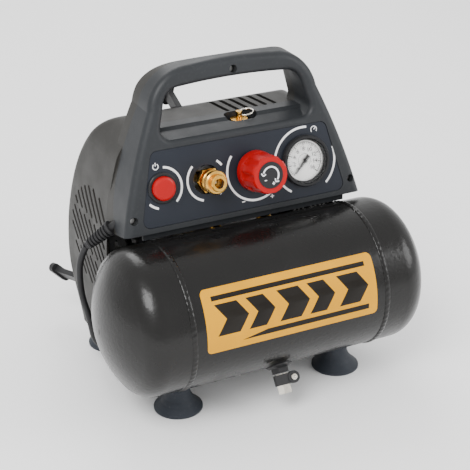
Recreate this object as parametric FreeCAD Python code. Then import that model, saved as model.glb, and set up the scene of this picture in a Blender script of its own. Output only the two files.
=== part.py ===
"""Portable oil-free air compressor with a 6 litre tank, millimetres, +Z up.

The front faces -Y and the origin is the centre of the footprint on the floor.
Shapes are drawn with the tank's axis at Y = 0 and are moved to the origin when saved.
"""
import FreeCAD
import Part
import math
import os

from FreeCAD import Vector

# ---------------------------------------------------------------- driving dimensions
depth_centre = 84.82         # Y of the middle of the footprint, from the tank's axis

tank_radius = 77.0
tank_wall = 2.2
tank_axis_z = 111.4
tank_half_length = 179.0
seam_x = 108.8               # where the rolled barrel is welded to each dished end
crown_radius = 110.0
knuckle_radius = 28.0
bead_width = 6.0
bead_height = 1.1

foot_radius = 25.8
foot_height = 31.0
neck_radius = 12.5
front_foot = Vector(95, 0, 0)
rear_foot = Vector(108, 157, 0)

shell_wall = 3.0
shell_bottom_z = 191.0
shell_top_z = 350.0
face_foot_y = 27.2           # front face at shell_bottom_z
face_slope = 0.2293          # the front face leans back by 12.9 degrees
hole_bottom_z = 278.0        # floor of the hand opening
hole_top_z = 329.5
outer_rounding = 8.0
lip_rounding = 6.0
deck_z = 284.0               # flat top of the rear shroud
bow_radius = 392.0           # the shroud's sides bow inwards above the motor

panel_mid_z = 234.0          # height of the row of controls
panel_bottom_z = 196.5
panel_top_z = 271.0
panel_half_bottom = 117.0
panel_half_top = 99.0
panel_thickness = 1.6
pocket_depth = 2.2
button_x = -90.5
coupler_x = -41.5
knob_x = 12.5
gauge_x = 72.0

motor_y = 140.0
motor_z = 128.0
shaft_radius = 6.0
running_gap = 0.05           # radial clearance of every running fit
crank_throw = 8.0
bore_radius = 24.0

plate_top_z = 34.0
plate_thickness = 2.5

drain_tilt = 35.0            # the drain leans forward from straight down
cord_radius = 3.5

X_AXIS = Vector(1, 0, 0)
Y_AXIS = Vector(0, 1, 0)
Z_AXIS = Vector(0, 0, 1)
tank_centre = Vector(0, 0, tank_axis_z)
motor_centre = Vector(0, motor_y, motor_z)


# ---------------------------------------------------------------- small helpers
def save(node, *solids):
    """Write one node: its solids, moved so that the footprint's centre is the origin."""
    shape = solids[0] if len(solids) == 1 else Part.makeCompound(list(solids))
    shape = shape.copy()
    shape.translate(Vector(0, -depth_centre, 0))
    for number, solid in enumerate(shape.Solids):
        if not solid.isValid():
            print("NOT VALID", node, number)
    if not shape.Solids:
        print("NO SOLID", node)
    shape.exportStep("parts/" + node + ".step")


def box(x0, x1, y0, y1, z0, z1):
    return Part.makeBox(x1 - x0, y1 - y0, z1 - z0, Vector(x0, y0, z0))


def rod(radius, length, start, axis=Z_AXIS):
    return Part.makeCylinder(radius, length, start, axis)


def tube(outer, inner, length, start, axis=Z_AXIS):
    hole = rod(inner, length + 2, start - Vector(axis).normalize(), axis)
    return rod(outer, length, start, axis).cut(hole)


def polygon(points):
    corners = [Vector(*p) for p in points]
    return Part.Face(Part.makePolygon(corners + corners[:1]))


def turned(profile, start=Vector(0, 0, 0), axis=Z_AXIS):
    """A solid of revolution: profile is (radius, height) pairs, stood on start along axis."""
    solid = polygon([(r, 0, h) for r, h in profile]).revolve(Vector(0, 0, 0), Z_AXIS, 360)
    solid.Placement = FreeCAD.Placement(start, FreeCAD.Rotation(Z_AXIS, axis))
    return solid


def prism_x(points, x0, x1):
    """Extrude a (y, z) outline from x0 to x1."""
    return polygon([(x0, y, z) for y, z in points]).extrude(Vector(x1 - x0, 0, 0))


def hexagon(across_flats, length, start, axis=Z_AXIS):
    corner = across_flats / 2 / math.cos(math.radians(30))
    turns = [math.radians(60 * i) for i in range(6)]
    face = polygon([(corner * math.cos(a), corner * math.sin(a), 0) for a in turns])
    solid = face.extrude(Vector(0, 0, length))
    solid.Placement = FreeCAD.Placement(start, FreeCAD.Rotation(Z_AXIS, axis))
    return solid


def slot(length, width, depth):
    """A round-ended cutter along local X, centred on the origin, standing on Z = 0."""
    half = length / 2 - width / 2
    bar = box(-half, half, -width / 2, width / 2, 0, depth)
    ends = [rod(width / 2, depth, Vector(s * half, 0, 0)) for s in (-1, 1)]
    return bar.multiFuse(ends)


def join(first, *others):
    return first.multiFuse(list(others)).removeSplitter()


def face_y(z):
    """Y of the shell's front face at a height."""
    return face_foot_y + face_slope * (z - shell_bottom_z)


lean = math.atan(face_slope)
panel_normal = Vector(0, -math.cos(lean), math.sin(lean))


def on_panel(shape, x, z=panel_mid_z):
    """Place a shape drawn with Z outwards and Y up on the front face at (x, z)."""
    turn = FreeCAD.Rotation(X_AXIS, 90 - math.degrees(lean))
    placed = shape.copy()
    placed.Placement = FreeCAD.Placement(Vector(x, face_y(z), z), turn)
    return placed


# ---------------------------------------------------------------- tank
def end_profile(shrink):
    """Half section of a dished end: skirt, knuckle and crown, drawn in X and Z."""
    radius = tank_radius - shrink
    knuckle = knuckle_radius - shrink
    crown = crown_radius - shrink
    across = tank_radius - knuckle_radius
    rise = crown_radius - math.sqrt((crown_radius - knuckle_radius) ** 2 - across ** 2)
    skirt_x = tank_half_length - rise
    crown_x = tank_half_length - crown_radius
    tangent = math.atan2(across, skirt_x - crown_x)
    middle = (tangent + math.pi / 2) / 2
    start = Vector(seam_x, 0, radius)
    shoulder = Vector(skirt_x, 0, radius)
    knuckle_mid = Vector(skirt_x + knuckle * math.cos(middle), 0, across + knuckle * math.sin(middle))
    join_point = Vector(crown_x + crown * math.cos(tangent), 0, crown * math.sin(tangent))
    crown_mid = Vector(crown_x + crown * math.cos(tangent / 2), 0, crown * math.sin(tangent / 2))
    tip = Vector(crown_x + crown, 0, 0)
    return [
        Part.LineSegment(start, shoulder).toShape(),
        Part.Arc(shoulder, knuckle_mid, join_point).toShape(),
        Part.Arc(join_point, crown_mid, tip).toShape(),
    ]


def dished_end():
    outer = end_profile(0)
    inner = end_profile(tank_wall)
    tip = Part.makeLine(outer[-1].Vertexes[-1].Point, inner[-1].Vertexes[-1].Point)
    lip = Part.makeLine(inner[0].Vertexes[0].Point, outer[0].Vertexes[0].Point)
    wire = Part.Wire(Part.__sortEdges__(outer + [tip] + inner + [lip]))
    solid = Part.Face(wire).revolve(Vector(0, 0, 0), X_AXIS, 360)
    solid.translate(tank_centre)
    return solid


def mirrored(solid):
    return solid.mirror(Vector(0, 0, 0), X_AXIS)


def make_tank():
    barrel = tube(tank_radius, tank_radius - tank_wall, 2 * seam_x, tank_centre - X_AXIS * seam_x, X_AXIS)
    right_end = dished_end()
    ridge = [
        (tank_radius, -bead_width / 2),
        (tank_radius + bead_height, -bead_width / 5),
        (tank_radius + bead_height, bead_width / 5),
        (tank_radius, bead_width / 2),
    ]
    bead = turned(ridge, tank_centre + X_AXIS * seam_x, X_AXIS)
    save("tank_barrel", barrel)
    save("tank_end_right", right_end)
    save("tank_end_left", mirrored(right_end))
    save("tank_weld_beads", bead, mirrored(bead))


def make_label():
    """A printed foil sticker wrapped round the front of the barrel."""
    label_thickness = 0.25
    half_width = 96.0
    low_angle = -6.0
    high_angle = 43.0
    corner = 5.0
    ring = tube(tank_radius + label_thickness, tank_radius, 2 * half_width,
                tank_centre - X_AXIS * half_width, X_AXIS)
    low = tank_axis_z + tank_radius * math.sin(math.radians(low_angle))
    high = tank_axis_z + tank_radius * math.sin(math.radians(high_angle))
    window = box(-half_width, half_width, -tank_radius - 2, 0, low, high)
    upright = [e for e in window.Edges if abs(e.Vertexes[0].Y - e.Vertexes[-1].Y) > 10]
    save("tank_label", ring.common(window.makeFillet(corner, upright)))


# ---------------------------------------------------------------- base and feet
def make_base():
    plate = box(-124, 124, 30, 172, plate_top_z - plate_thickness, plate_top_z)
    corners = [e for e in plate.Edges if abs(e.Vertexes[0].Z - e.Vertexes[-1].Z) > 1]
    plate = plate.makeFillet(12, corners)
    save("base_plate", plate)
    outline = [(36, plate_top_z), (102, plate_top_z), (102, 40), (84, 84), (60, 84), (36, 60)]
    barrel = rod(tank_radius, 400, tank_centre - X_AXIS * 200, X_AXIS)
    gussets = [prism_x(outline, x - 1.5, x + 1.5).cut(barrel) for x in (-96, -62, 62, 96)]
    pads = []
    for side in (-1, 1):
        foot_top = Vector(side * front_foot.x, front_foot.y, foot_height)
        seam = rod(tank_radius + bead_height + 0.1, bead_width + 1, tank_centre + X_AXIS * side * seam_x, X_AXIS)
        seam.translate(X_AXIS * (-bead_width / 2 - 0.5))
        pads.append(rod(neck_radius + 1, 8, foot_top).cut(barrel).cut(seam))
    save("tank_brackets", *gussets, *pads)


def suction_foot():
    """A rubber foot: a neck, a flared skirt and a hollow cup underneath."""
    profile = [
        (0, 6.5), (12, 6.0), (20, 3.6), (23.8, 0), (foot_radius, 0), (foot_radius, 1.8),
        (22.5, 4.6), (18.5, 8.6), (15.2, 13.2), (neck_radius + 0.8, 17.5), (neck_radius, 21),
        (neck_radius, foot_height), (0, foot_height),
    ]
    return turned(profile)


def make_feet():
    stud_low = 12.0
    stud_radius = 4.0
    foot = suction_foot().cut(rod(stud_radius, foot_height, Vector(0, 0, stud_low)))
    plate_bottom = plate_top_z - plate_thickness
    feet = []
    studs = []
    for place in (front_foot, rear_foot):
        stud_top = plate_bottom if place is rear_foot else foot_height
        for side in (-1, 1):
            centre = Vector(side * place.x, place.y, 0)
            placed = foot.copy()
            placed.translate(centre)
            if place is rear_foot:
                collar = tube(neck_radius, stud_radius, plate_bottom - foot_height, centre + Z_AXIS * foot_height)
                placed = join(placed, collar)
            feet.append(placed)
            studs.append(rod(stud_radius, stud_top - stud_low, centre + Z_AXIS * stud_low))
    save("rubber_feet", *feet)
    save("foot_studs", *studs)


# ---------------------------------------------------------------- shells
side_foot = Vector(135.5, 0, 191.0)
side_middle = Vector(118.2, 0, 250.0)
side_top = Vector(95.5, 0, 307.0)
shoulder_middle = Vector(80.0, 0, 335.5)
crown_end = Vector(48.0, 0, 347.5)
crown_top = Vector(0, 0, shell_top_z)


def flipped(point):
    return Vector(-point.x, point.y, point.z)


def arc(start, middle, end):
    return Part.Arc(start, middle, end).toShape()


def face_of(edges, grow):
    """A face inside closed edges, grown outwards by a distance."""
    face = Part.Face(Part.Wire(edges))
    return face.makeOffset2D(grow) if grow else face


def outline_face(grow, low_z=150.0):
    """Front view of the shells and handle: leaning sides and a flat arched top."""
    low = Vector(side_foot.x, 0, low_z)
    edges = [
        Part.makeLine(low, side_foot),
        arc(side_foot, side_middle, side_top),
        arc(side_top, shoulder_middle, crown_end),
        arc(crown_end, crown_top, flipped(crown_end)),
        arc(flipped(crown_end), flipped(shoulder_middle), flipped(side_top)),
        arc(flipped(side_top), flipped(side_middle), flipped(side_foot)),
        Part.makeLine(flipped(side_foot), flipped(low)),
        Part.makeLine(flipped(low), low),
    ]
    return face_of(edges, grow)


def corner_arc(start, corner, end):
    """An arc tangent to the two lines that meet at a corner, both ends equally far from it."""
    half = (start - corner).getAngle(end - corner) / 2
    reach = (start - corner).Length
    inwards = ((start + end) * 0.5 - corner).normalize()
    middle = corner + inwards * (reach * (1 / math.cos(half) - math.tan(half)))
    return arc(start, middle, end)


def hole_face(grow):
    """The hand opening: flat floor, round corners, gently arched top, all tangent."""
    arch_end = Vector(61.7, 0, 326.9)
    rise = hole_top_z - arch_end.z
    arch_radius = (arch_end.x ** 2 + rise ** 2) / (2 * rise)
    slope = math.asin(arch_end.x / arch_radius)
    top_reach = 13.0
    top_corner = arch_end + Vector(math.cos(slope), 0, -math.sin(slope)) * top_reach
    floor_reach = 14.0
    floor_corner = Vector(87.7, 0, hole_bottom_z)
    up = (top_corner - floor_corner).normalize()
    floor_end = floor_corner - X_AXIS * floor_reach
    side_low = floor_corner + up * floor_reach
    side_high = top_corner - up * top_reach
    edges = [
        Part.makeLine(flipped(floor_end), floor_end),
        corner_arc(floor_end, floor_corner, side_low),
        Part.makeLine(side_low, side_high),
        corner_arc(side_high, top_corner, arch_end),
        arc(arch_end, Vector(0, 0, hole_top_z), flipped(arch_end)),
        corner_arc(flipped(arch_end), flipped(top_corner), flipped(side_high)),
        Part.makeLine(flipped(side_high), flipped(side_low)),
        corner_arc(flipped(side_low), flipped(floor_corner), flipped(floor_end)),
    ]
    return face_of(edges, grow)


def through_y(face, y0=-20.0, y1=260.0):
    solid = face.extrude(Vector(0, y1 - y0, 0))
    solid.translate(Vector(0, y0, 0))
    return solid


def through_x(face):
    solid = face.extrude(Vector(400, 0, 0))
    solid.translate(Vector(-200, 0, 0))
    return solid


def rim_side(inset):
    """Side view of the shells' rim and handle as a face in Y and Z, shrunk by a wall."""
    low_z = 150.0
    front_low = Vector(0, face_y(low_z), low_z)
    front_top = Vector(0, face_y(shell_top_z), shell_top_z)
    back_top = Vector(0, 78, shell_top_z)
    grip_back = Vector(0, 100, 322)
    rim_middle = Vector(0, 96.5, 245)
    rim_foot = Vector(0, 77, 179)
    back_low = Vector(0, 77, low_z)
    edges = [
        Part.makeLine(front_low, front_top),
        Part.makeLine(front_top, back_top),
        arc(back_top, Vector(0, 92.5, 340), grip_back),
        Part.makeLine(grip_back, Vector(0, 100, 290)),
        arc(Vector(0, 100, 290), rim_middle, rim_foot),
        Part.makeLine(rim_foot, back_low),
        Part.makeLine(back_low, front_low),
    ]
    return face_of(edges, -inset)


def rim_solid():
    """The solid envelope of the front shell, the handle and the rim behind it."""
    solid = through_y(outline_face(0)).common(through_x(rim_side(0)))
    under = [(-20, 100), (140, 100), (140, 179), (77, 179), (face_foot_y, shell_bottom_z), (-20, shell_bottom_z)]
    return solid.cut(prism_x(under, -200, 200))


def rounded_rim():
    """The envelope with the hand opening cut through and its edges rounded."""
    solid = rim_solid()
    outer_edges = [e for e in solid.Edges if lies_in_face(e)]
    solid = solid.makeFillet(outer_rounding, outer_edges)
    opening = through_y(hole_face(0))
    solid = solid.cut(opening)
    lips = [e for e in solid.Edges if lies_in_face(e) and abs(e.BoundBox.Center.x) < 90
            and e.BoundBox.Center.z > 270]
    return solid.makeFillet(lip_rounding, lips)


def lies_in_face(edge):
    """True for an edge in the leaning front face, apart from the shell's bottom edge."""
    span = edge.LastParameter - edge.FirstParameter
    points = [edge.valueAt(edge.FirstParameter + t * span) for t in (0, 0.5, 1)]
    in_plane = all(abs(p.y - face_y(p.z)) < 0.05 for p in points)
    return in_plane and edge.BoundBox.Center.z > shell_bottom_z + 0.5


def hollow_space():
    """Everything inside the shells' walls, ahead of the shroud."""
    inner = through_y(outline_face(-shell_wall)).common(through_x(rim_side(shell_wall)))
    return inner.cut(through_y(hole_face(shell_wall)))


def ahead_of_parting():
    """The space in front of the curved joint between the front and rear shells."""
    line = [(-20, 100), (20, 100), (46, 181), (63, 194), (74, 214), (81, 236), (84.5, 262), (85, 300), (82, 360), (-20, 360)]
    return prism_x(line, -200, 200)


def shroud_side(inset):
    """Side view of the rear shroud as a face in Y and Z, shrunk by a wall."""
    back = [(84, 296), (118, 284), (150, 271), (173, 250), (190, 220),
            (204, 172), (215, 116), (212, 84), (197, 58), (178, 30)]
    curve = Part.BSplineCurve()
    curve.interpolate([Vector(0, y - inset, z - inset * (z > 200)) for y, z in back])
    top = curve.StartPoint
    low = curve.EndPoint
    front_top = Vector(0, 70, top.z)
    foot = Vector(0, 70, low.z)
    edges = [
        Part.makeLine(front_top, top),
        curve.toShape(),
        Part.makeLine(low, foot),
        Part.makeLine(foot, front_top),
    ]
    return Part.Face(Part.Wire(edges))


def shroud_half_width(z):
    """The shroud's sides are upright at the bottom and curve inwards going up."""
    upright_to = 140.0
    return 136.0 - max(0, z - upright_to) ** 2 / (2 * bow_radius)


def shroud_front(inset):
    """Front view of the shroud: bowed sides and big round shoulders under a flat deck."""
    low, bend, middle, shoulder = [Vector(shroud_half_width(z) - inset, 0, z) for z in (0, 140, 200, 248)]
    top_z = deck_z - inset
    lean_in = (shoulder.z - bend.z) / bow_radius
    corner = Vector(shoulder.x - lean_in * (top_z - shoulder.z), 0, top_z)
    deck_end = corner - X_AXIS * (corner - shoulder).Length
    edges = [
        Part.makeLine(low, bend),
        arc(bend, middle, shoulder),
        corner_arc(shoulder, corner, deck_end),
        Part.makeLine(deck_end, flipped(deck_end)),
        corner_arc(flipped(deck_end), flipped(corner), flipped(shoulder)),
        arc(flipped(shoulder), flipped(middle), flipped(bend)),
        Part.makeLine(flipped(bend), flipped(low)),
        Part.makeLine(flipped(low), low),
    ]
    return Part.Face(Part.Wire(edges))


def shroud_body(inset, corner):
    """The rear shroud: its side view met with its front view, back corners rounded."""
    body = through_x(shroud_side(inset)).common(through_y(shroud_front(inset), 0, 300))
    upright = []
    for edge in body.Edges:
        bounds = edge.BoundBox
        if bounds.ZLength > 40 and bounds.YLength > 5 and abs(bounds.Center.x) > 90:
            upright.append(edge)
    body = body.makeFillet(corner, upright)
    keep = box(-200, 200, 84, 300, 0, deck_z - inset)
    return body.common(keep)


def screw_boss(x, z, root):
    """A hollow pillar for a case screw, from just inside the front wall to a depth."""
    return on_panel(rod(7.0, -root, Vector(0, 0, root)), x, z)


screw_places = [(-124.5, 206.5), (124.5, 206.5), (0, 338.0)]
screw_pocket = 12.0
screw_radius = 1.9
screw_head_radius = 3.5


def screw_length(z):
    return 30.0 if z > 300 else 42.0


def screw_holes():
    """Cutters for the case screws: a deep round pocket and a narrow shank hole."""
    cutters = []
    for x, z in screw_places:
        pocket = rod(4.1, screw_pocket + 5, Vector(0, 0, -screw_pocket))
        shank = rod(screw_radius, 80, Vector(0, 0, -70))
        cutters.append(on_panel(pocket.fuse(shank), x, z))
    return cutters


def make_screws():
    solids = []
    for x, z in screw_places:
        head = rod(screw_head_radius, 2.5, Vector(0, 0, -screw_pocket))
        shank = rod(screw_radius, screw_length(z), Vector(0, 0, -screw_pocket - screw_length(z)))
        solids.append(on_panel(join(head, shank), x, z))
    save("shell_screws", *solids)


def panel_plate(grow, low, high):
    """The control panel's outline in its own plane, extruded between two heights."""
    slant = math.cos(lean)
    bottom = (panel_bottom_z - panel_mid_z) / slant - grow
    top = (panel_top_z - panel_mid_z) / slant + grow
    wide = panel_half_bottom + grow
    narrow = panel_half_top + grow
    outline = [(-wide, bottom, low), (wide, bottom, low), (narrow, top, low), (-narrow, top, low)]
    plate = polygon(outline).extrude(Vector(0, 0, high - low))
    upright = [e for e in plate.Edges if abs(e.Vertexes[0].Z - e.Vertexes[-1].Z) > 0.1]
    return on_panel(plate.makeFillet(8.0, upright), 0)


def control_holes():
    """Round holes through the panel and the wall behind it, one for each control."""
    holes = []
    for x, radius in ((button_x, 14.0), (coupler_x, 15.0), (knob_x, 17.0), (gauge_x, 24.8)):
        holes.append(on_panel(rod(radius, 30, Vector(0, 0, -20)), x))
    return holes


def side_vents():
    """Slanting slots in the shroud's sides, in a round patch split by two level bands."""
    middle = Vector(0, 131, 149)
    patch_radius = 56.0
    pitch = 10.2
    slot_width = 4.4
    slope = math.radians(44)
    front_limit = 90.0
    bands = [170.5, 127.5]
    half_gap = 3.5
    shortest = 9.0
    along = Vector(0, -math.cos(slope), -math.sin(slope))
    across = Vector(0, math.sin(slope), -math.cos(slope))
    turn = FreeCAD.Rotation(along, Z_AXIS.cross(X_AXIS), X_AXIS, "XZY")
    cutters = []
    for index in range(-5, 6):
        offset = index * pitch
        line = middle + across * offset
        reach = math.sqrt(patch_radius ** 2 - offset ** 2)
        stop = min(reach, (line.y - front_limit) / math.cos(slope))
        cuts = [(line.z - level) / math.sin(slope) for level in bands]
        starts = [-reach] + [cut + half_gap for cut in cuts]
        stops = [cut - half_gap for cut in cuts] + [stop]
        for low, high in zip(starts, stops):
            low = max(low, -reach)
            high = min(high, stop)
            if high - low < shortest:
                continue
            centre = line + along * ((low + high) / 2)
            cutter = slot(high - low, slot_width, 60)
            cutter.Placement = FreeCAD.Placement(Vector(100, centre.y, centre.z), turn)
            cutters += [cutter, mirrored(cutter)]
    return cutters


def deck_vents():
    """Six slanting slots in the flat top, over the pump."""
    cutters = []
    for index in range(6):
        back = Vector(0.6 + 11.05 * index, 123, 0)
        front = back + Vector(5.4, -36, 0)
        middle = (back + front) * 0.5
        cutter = slot(41, 4.6, 40)
        angle = math.degrees(math.atan2(front.y - back.y, front.x - back.x))
        cutter.Placement = FreeCAD.Placement(middle + Z_AXIS * 262, FreeCAD.Rotation(Z_AXIS, angle))
        cutters.append(cutter)
    return cutters


riser_place = Vector(-20, 64, 150)
valve_notch_x = 14.0
valve_y = 73.5


def valve_notch():
    cutter = slot(36, 19, 30)
    cutter.translate(Vector(valve_notch_x, valve_y, 265))
    return cutter


def make_shells():
    envelope = rounded_rim()
    front_zone = ahead_of_parting()
    hollow = hollow_space()
    ledge = prism_x([(50, 276), (50, 277.9), (68, 281), (71.5, 284), (90, 284), (90, 276)], -86.8, 86.8)
    ledge = ledge.common(through_y(hole_face(0.2)))
    bosses = [screw_boss(x, z, -58 if z < 300 else -34).common(envelope) for x, z in screw_places]
    front = envelope.common(front_zone).cut(hollow).fuse(ledge.common(front_zone))
    front = front.multiFuse([boss.common(front_zone) for boss in bosses])
    floor = box(-125, 125, 20, 62, 189.8, 192).common(hollow).common(front_zone)
    saddle = rod(tank_radius + bead_height + 0.4, 300, tank_centre - X_AXIS * 150, X_AXIS)
    skirt = box(-116, 116, 31, 33.5, 120, 192).cut(saddle)
    front = front.fuse(floor).fuse(skirt.common(through_y(outline_face(-shell_wall))))
    riser_hole = rod(9, 20, Vector(riser_place.x, riser_place.y, 180))
    tools = screw_holes() + control_holes() + [panel_plate(0.3, -pocket_depth, 8), valve_notch(), riser_hole]
    tools.append(cord_exit_hole())
    for tool in tools:
        front = front.cut(tool)
    save("front_shell", front.removeSplitter())

    outer = envelope.cut(front_zone).fuse(shroud_body(0, 12.0).cut(front_zone))
    rear = outer.cut(hollow).cut(shroud_body(2.5, 9.5))
    mouth = box(-133.4, 133.4, 60, 86, 0, 270).cut(envelope)
    room = through_y(outline_face(-shell_wall, 100.0), 50, 110).common(box(-200, 200, 50, 110, 140, 262))
    rear = rear.cut(mouth).cut(room.common(through_y(shroud_front(2.5), 50, 110)))
    rear = rear.multiFuse([boss.cut(front_zone) for boss in bosses])
    for tool in screw_holes() + side_vents() + deck_vents() + [cord_exit_hole()]:
        rear = rear.cut(tool)
    save("rear_shell", rear.removeSplitter())


def make_panel():
    plate = panel_plate(0, -pocket_depth, panel_thickness - pocket_depth)
    for hole in control_holes():
        plate = plate.cut(hole)
    save("control_panel", plate)


# ---------------------------------------------------------------- cord hooks
def hook(root, reach, lip_along, blade_height, lip_length):
    """A cord hook: a flat arm from the shroud ending in a rounded oblong lip."""
    length = reach.Length
    arm = box(-3, 3, -blade_height / 2, blade_height / 2, 0, length)
    lip = slot(lip_length, 11, 6)
    side = reach.cross(lip_along)
    arm.Placement = FreeCAD.Placement(root, FreeCAD.Rotation(side, Z_AXIS, reach, "ZXY"))
    lip.Placement = FreeCAD.Placement(root + reach, FreeCAD.Rotation(lip_along, side, reach, "ZXY"))
    return join(arm, lip)


def make_hooks():
    reach = Vector(-12, 36, -5)
    lip = Vector(1, 0, -1)
    left = hook(Vector(-124, 203, 62), reach, lip, 18, 31)
    top = hook(Vector(-33, 124, 277), Vector(0, 26, 11), Vector(0, -0.3, 1), 13, 30)
    solid = shroud_body(0, 12.0)
    save("cord_hooks", left.cut(solid), mirrored(left).cut(solid), top.cut(solid))


# ---------------------------------------------------------------- controls


def make_button():
    cap = [(0, -7), (12.3, -7), (12.3, 4.6), (11.4, 6.2), (9.5, 7.0), (0, 7.3)]
    stem = rod(4.0, 24, Vector(0, 0, -28))
    button = join(turned(cap), stem)
    save("start_button", on_panel(button, button_x))
    bezel = [(12.7, -12), (13.9, -12), (13.9, -0.6), (15.8, -0.6), (15.8, 1.0), (15.0, 1.7), (12.7, 1.7)]
    save("button_bezel", on_panel(turned(bezel), button_x))
    body = box(-21, 21, -22, 22, -46, -13)
    body = body.cut(rod(4.0 + running_gap, 22, Vector(0, 0, -33)))
    save("pressure_switch", on_panel(body, button_x))


def make_coupler():
    probe = 5.2
    neck = 8.6
    profile = [(0, -26), (6.5, -26), (6.5, 1), (12.1, 1), (12.1, 8), (neck, 8), (neck, 29), (7.9, 30), (0, 30)]
    body = turned(profile).cut(rod(probe, 18, Vector(0, 0, 12)))
    body = body.fuse(hexagon(23, 6, Vector(0, 0, 1.5)))
    save("coupler_body", on_panel(body, coupler_x))
    inner = neck + running_gap
    sleeve = [
        (inner, 11.5), (11.4, 11.5), (12.0, 12.3), (12.0, 15), (11.2, 15.8), (11.2, 19),
        (12.0, 19.8), (12.0, 23.2), (10.8, 24.4), (inner, 24.4),
    ]
    save("coupler_sleeve", on_panel(turned(sleeve), coupler_x))


def make_regulator():
    stem_radius = 4.0
    body = join(rod(9, 3, Vector(0, 0, -26)), rod(15, 21, Vector(0, 0, -23)), rod(11, 3, Vector(0, 0, -2)))
    body = body.cut(rod(stem_radius + running_gap, 24, Vector(0, 0, -22)))
    save("regulator_body", on_panel(body, knob_x))
    save("regulator_stem", on_panel(rod(stem_radius, 50, Vector(0, 0, -21)), knob_x))
    shape = [(0, 1.5), (21, 1.5), (21.6, 3), (21.4, 9), (20.6, 14), (19.8, 34), (18.6, 36.5), (0, 36.5)]
    knob = turned(shape)
    for index in range(8):
        turn = math.radians(45 * index)
        cutter = rod(7.0, 40, Vector(25.4 * math.cos(turn), 25.4 * math.sin(turn), 12))
        knob = knob.cut(cutter)
    knob = knob.cut(rod(stem_radius, 28, Vector(0, 0, 1)))
    knob = knob.cut(rod(13.6, 2, Vector(0, 0, 35.5)))
    save("regulator_knob", on_panel(knob, knob_x))
    save("knob_cap", on_panel(rod(13.6, 1.4, Vector(0, 0, 35.5)), knob_x))


def make_gauge():
    lens_radius = 24.0
    case = [
        (0, -22), (22.6, -22), (22.6, -0.6), (27.3, -0.6), (27.3, 3.0), (26.2, 5.2), (lens_radius, 5.2),
        (lens_radius, 3.6), (22.8, 3.6), (22.8, -0.6), (21.6, -0.6), (21.6, -3.0), (20.8, -3.0), (20.8, -20), (0, -20),
    ]
    stem = rod(5.0, 4.5, Vector(0, 0, -26))
    case = join(turned(case), stem)
    save("gauge_case", on_panel(case, gauge_x))
    dial = tube(21.6, 1.0, 1.2, Vector(0, 0, -3.0))
    save("gauge_dial", on_panel(dial, gauge_x))
    pin = rod(1.0 - running_gap, 16, Vector(0, 0, -15))
    hub = rod(2.6, 1.4, Vector(0, 0, -1.0))
    pointer = polygon([(-2.2, -7, -0.7), (2.2, -7, -0.7), (0.5, 17, -0.7), (-0.5, 17, -0.7)]).extrude(Vector(0, 0, 0.8))
    pointer.rotate(Vector(0, 0, 0), Z_AXIS, 135)
    save("gauge_needle", on_panel(join(pin, hub, pointer), gauge_x))
    save("gauge_lens", on_panel(rod(lens_radius, 1.4, Vector(0, 0, 3.6)), gauge_x))


def make_manifold():
    rail = on_panel(box(-66, 88, -9, 9, -40, -26), 0)
    riser = tube(6.0, 3.0, 71, riser_place)
    rail = rail.cut(rod(6.0, 71, riser_place))
    valve_seat = rod(6.0, 8, Vector(knob_x, valve_y, 230))
    rail = rail.cut(valve_seat)
    save("manifold", rail)
    barrel = rod(tank_radius - 0.01, 400, tank_centre - X_AXIS * 200, X_AXIS)
    outwards = Vector(0, 1, 1).normalize()
    check_valve = rod(8.0, 17, tank_centre + outwards * (tank_radius - 1), outwards).cut(barrel)
    check_valve.translate(Vector(pump_x, 0, 0))
    save("tank_fittings", riser.cut(barrel), check_valve)


def make_safety_valve():
    top = 279.0
    stem_radius = 3.2
    body = join(rod(6.0, 8, Vector(0, 0, 230)), hexagon(15, 8, Vector(0, 0, 238)), rod(9.0, 33, Vector(0, 0, 246)))
    body = body.cut(rod(5.4, 29, Vector(0, 0, 248)))
    body = body.cut(rod(stem_radius + running_gap, 5, Vector(0, 0, 276)))
    place = Vector(knob_x, valve_y, 0)
    body.translate(place)
    save("safety_valve_body", body)
    stem = join(rod(5.1, 2.5, Vector(0, 0, 249)), rod(stem_radius, 38, Vector(0, 0, 249)))
    stem = stem.cut(rod(1.75, 20, Vector(0, -10, top + 4.5), Y_AXIS))
    stem.translate(place)
    save("safety_valve_stem", stem)
    coil = Part.Wire(Part.makeHelix(4.4, 24.2, 4.3).Edges)
    section = Part.Wire(Part.makeCircle(0.55, Vector(4.3, 0, 0), Y_AXIS).Edges)
    spring = coil.makePipeShell([section], True, True)
    spring.translate(place + Z_AXIS * 252.1)
    save("safety_valve_spring", spring)
    ring = Part.makeTorus(8.0, 0.8, Vector(8.0, 0, top + 4.5))
    ring.rotate(Vector(0, 0, top + 4.5), Y_AXIS, -8)
    ring.translate(place)
    save("pull_ring", ring)


# ---------------------------------------------------------------- motor and pump
pump_x = 34.0
stator_radius = 46.0
rotor_radius = 25.6


def on_shaft(x):
    return Vector(x, motor_y, motor_z)


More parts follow.
